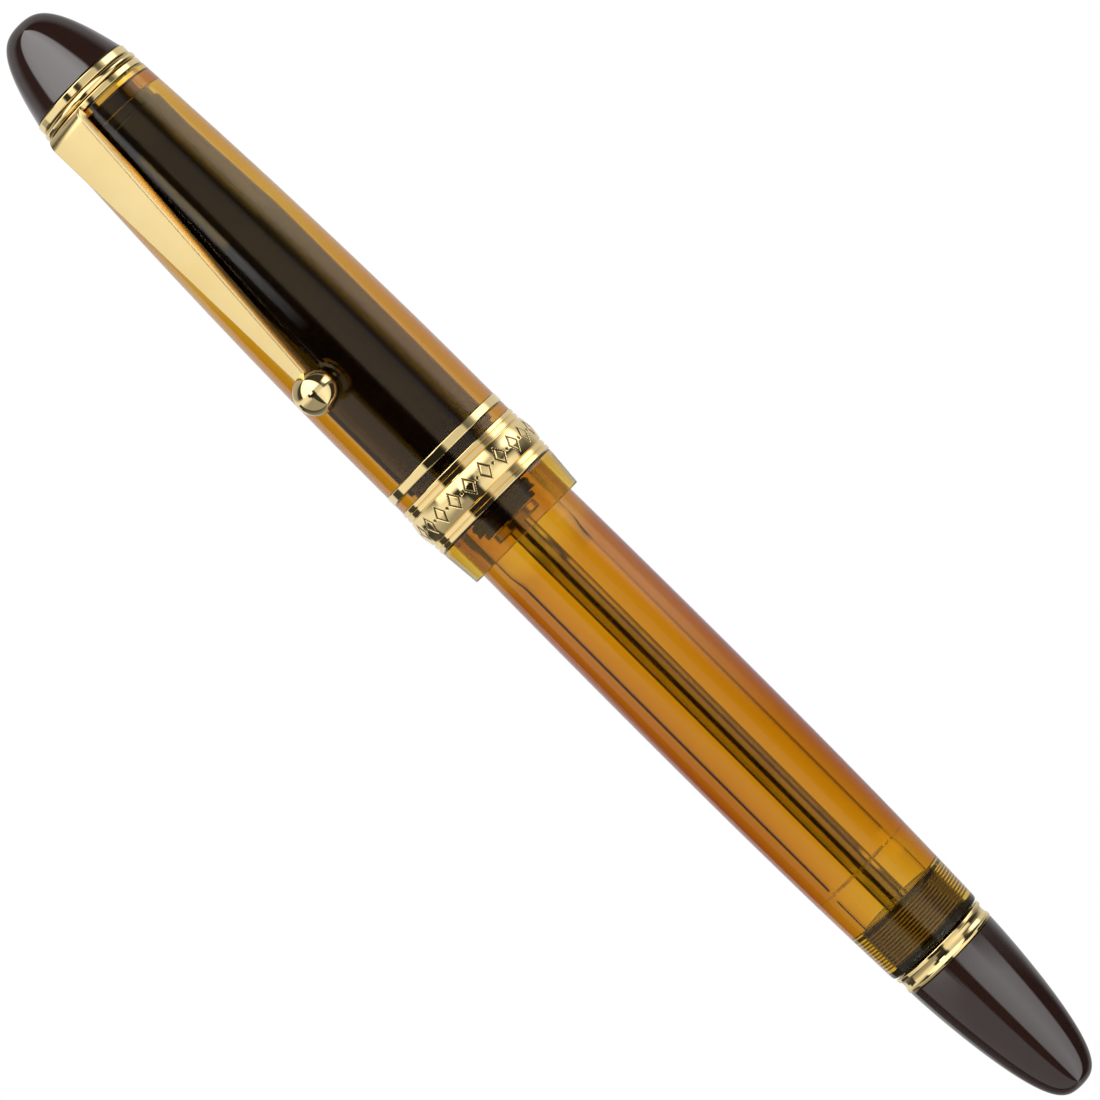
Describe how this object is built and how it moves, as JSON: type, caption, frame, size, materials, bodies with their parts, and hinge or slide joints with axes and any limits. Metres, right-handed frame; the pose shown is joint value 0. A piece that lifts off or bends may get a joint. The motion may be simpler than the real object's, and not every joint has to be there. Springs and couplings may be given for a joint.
{
  "type": "capped fountain pen",
  "caption": "Capped fountain pen with a translucent amber body, gold-plated clip and bands, and a plunger filler worked by a screw-down tail knob.",
  "frame": {"origin": "point of the cap's surface under the clip's ball, where a pocket's edge is gripped", "axes": "+Z along the pen towards the finial, -Y the side the clip is on, +X to the right seen from the clip side"},
  "size_m": [0.0154, 0.0197, 0.1487],
  "materials": {
    "amber_resin": "clear amber resin, polished",
    "dark_resin": "dark brown resin, polished",
    "brown_resin": "brown translucent resin, turned",
    "gold_plate": "gold plating, mirror polished",
    "nib_gold": "polished gold",
    "steel": "ground and polished",
    "brass": "turned",
    "rubber": "smooth",
    "feed_plastic": "matte black"
  },
  "bodies": {
    "cap": {"cap_tube": "amber_resin", "inner_cap": "dark_resin", "finial": "dark_resin", "finial_ring": "gold_plate", "bead_ring": "gold_plate", "collar_ring": "gold_plate", "finial_stud": "dark_resin", "clip_washer": "gold_plate", "narrow_cap_band": "gold_plate", "wide_cap_band": "gold_plate"},
    "clip": {"clip_arm": "gold_plate", "clip_ball": "gold_plate"},
    "carrier": {"section_ring": "gold_plate"},
    "pen": {"barrel": "amber_resin", "grip_section": "dark_resin", "section_oring": "rubber", "nib": "nib_gold", "nib_tipping": "steel", "feed": "feed_plastic", "rear_plug": "brown_resin", "plug_gasket": "rubber", "rod_seal": "rubber", "packing_nut": "brass"},
    "plunger": {"plunger_rod": "steel", "plunger_head": "feed_plastic", "plunger_nut": "steel", "plunger_seal": "rubber", "valve_tip": "rubber"},
    "knob": {"blind_cap": "dark_resin", "tail_ring": "gold_plate", "knob_insert": "brass", "rod_nut": "brass"}
  },
  "joints": [
    {"name": "clip_lift", "type": "hinge", "parent": "cap", "child": "clip", "pos_m": [0, 0.0009, 0.03555], "axis": [-1, 0, 0], "range_deg": [0, 5], "stiffness_Nm_per_rad": 1.7},
    {"name": "cap_pull", "type": "slide", "parent": "cap", "child": "carrier", "axis": [0, 0, -1], "range_m": [0, 0.065]},
    {"name": "cap_turn", "type": "hinge", "parent": "carrier", "child": "pen", "pos_m": [0, 0.00733, 0], "axis": [0, 0, -1], "range_deg": [0, 540]},
    {"name": "plunger_pull", "type": "slide", "parent": "pen", "child": "plunger", "axis": [0, 0, -1], "range_m": [0, 0.05]},
    {"name": "knob_turn", "type": "hinge", "parent": "plunger", "child": "knob", "pos_m": [0, 0.00733, 0], "axis": [0, 0, -1], "range_deg": [0, 1080]}
  ]
}
